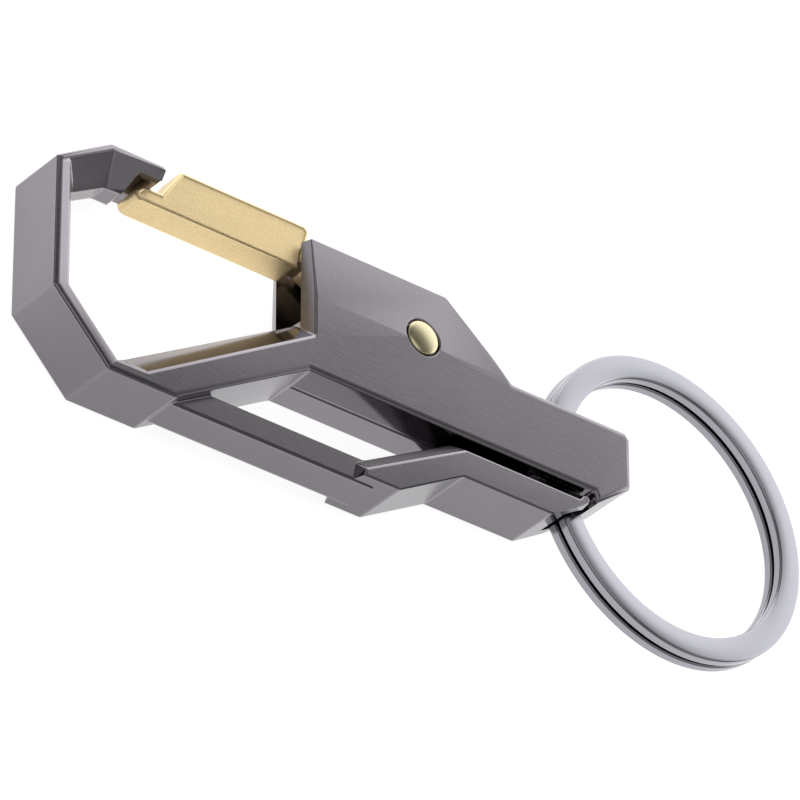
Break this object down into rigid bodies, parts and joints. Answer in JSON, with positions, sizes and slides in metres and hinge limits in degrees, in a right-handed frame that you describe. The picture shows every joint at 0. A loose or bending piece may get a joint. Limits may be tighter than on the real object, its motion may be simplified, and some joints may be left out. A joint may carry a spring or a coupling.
{
  "type": "key ring",
  "caption": "Angular clip-on carabiner with a sprung gate at one end and a flat-wire split ring held in a channel at the other.",
  "frame": {"origin": "centre of the bounding box in X and Y, at the height of the back face it lies on", "axes": "+X from the hook to the split ring, +Y from the plain side to the gate side, +Z out of the front face"},
  "size_m": [0.0856, 0.0304, 0.0066],
  "materials": {
    "gunmetal": "satin gunmetal plating",
    "satin_gold": "satin gold plating",
    "polished_brass": "polished",
    "spring_steel": "drawn wire",
    "nickel_steel": "polished nickel plating"
  },
  "bodies": {
    "carabiner": {"hook_frame": "gunmetal", "gate_pivot": "polished_brass", "gate_spring": "spring_steel"},
    "gate": {"gate": "satin_gold"},
    "ring": {"split_ring": "nickel_steel"}
  },
  "joints": [
    {"name": "gate_hinge", "type": "hinge", "parent": "carabiner", "child": "gate", "pos_m": [-0.00327, 0.00401, 0.0032], "axis": [0, 0, 1], "range_deg": [0, 24], "stiffness_Nm_per_rad": 0.15, "springref_deg": -17.19, "deforming": ["gate_spring"]},
    {"name": "ring_swing", "type": "hinge", "parent": "carabiner", "child": "ring", "pos_m": [0.01684, -0.00459, 0.00298], "axis": [0.0489, 0.0259, 0.9985], "range_deg": [-6, 26]}
  ]
}
